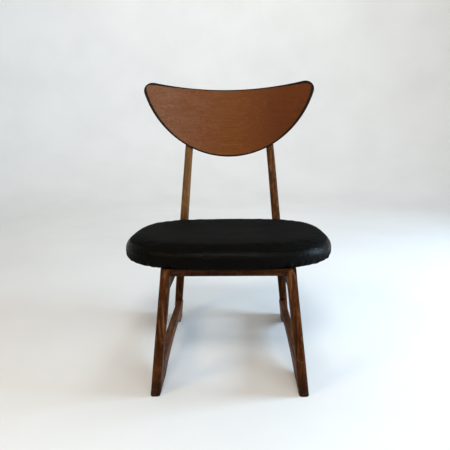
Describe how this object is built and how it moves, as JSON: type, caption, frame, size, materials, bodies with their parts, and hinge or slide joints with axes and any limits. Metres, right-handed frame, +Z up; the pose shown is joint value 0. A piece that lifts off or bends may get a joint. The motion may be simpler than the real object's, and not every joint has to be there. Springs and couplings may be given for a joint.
{
  "type": "dining chair",
  "caption": "Low wooden side chair on a sled base, with a wide black upholstered pad and a curved crescent-shaped back panel on two slim posts.",
  "frame": {"origin": "on the floor, under the middle of the chair's bounding box", "axes": "+X across the seat towards the sitter's left, -Y the way the sitter faces, +Z up"},
  "size_m": [0.5085, 0.503, 0.7212],
  "materials": {
    "frame_wood": "dark walnut-brown stained hardwood, satin lacquer, worn at the edges and foot tips",
    "runner_wood": "the same stained hardwood, duller and dusty on top",
    "panel_veneer": "teak-coloured veneer on moulded plywood, satin lacquer, dark rounded edge",
    "block_wood": "raw softwood, glued",
    "dowel_wood": "raw birch",
    "screw_steel": "zinc-plated steel, dulled",
    "staple_steel": "galvanised wire",
    "plywood": "raw plywood",
    "foam": "open-cell upholstery foam",
    "black_vinyl": "black leathercloth, fine grain, satin sheen",
    "dust_cloth": "black non-woven cambric"
  },
  "bodies": {
    "root": {"front_leg_left": "frame_wood", "front_leg_right": "frame_wood", "back_post_left": "frame_wood", "back_post_right": "frame_wood", "side_rail_left": "frame_wood", "side_rail_right": "frame_wood", "front_rail": "frame_wood", "rear_rail": "frame_wood", "panel_screw_plugs": "frame_wood", "runner_left": "runner_wood", "runner_right": "runner_wood", "back_panel": "panel_veneer", "corner_block_front_left": "block_wood", "corner_block_front_right": "block_wood", "corner_block_rear_left": "block_wood", "corner_block_rear_right": "block_wood", "front_rail_dowels": "dowel_wood", "rear_rail_dowels": "dowel_wood", "side_rail_dowels": "dowel_wood", "runner_dowels": "dowel_wood", "panel_screws": "screw_steel", "corner_block_screws": "screw_steel", "seat_screws": "screw_steel", "cover_staples": "staple_steel", "seat_board": "plywood", "seat_foam": "foam", "seat_cover": "black_vinyl", "seat_dust_cover": "dust_cloth"}
  },
  "joints": []
}
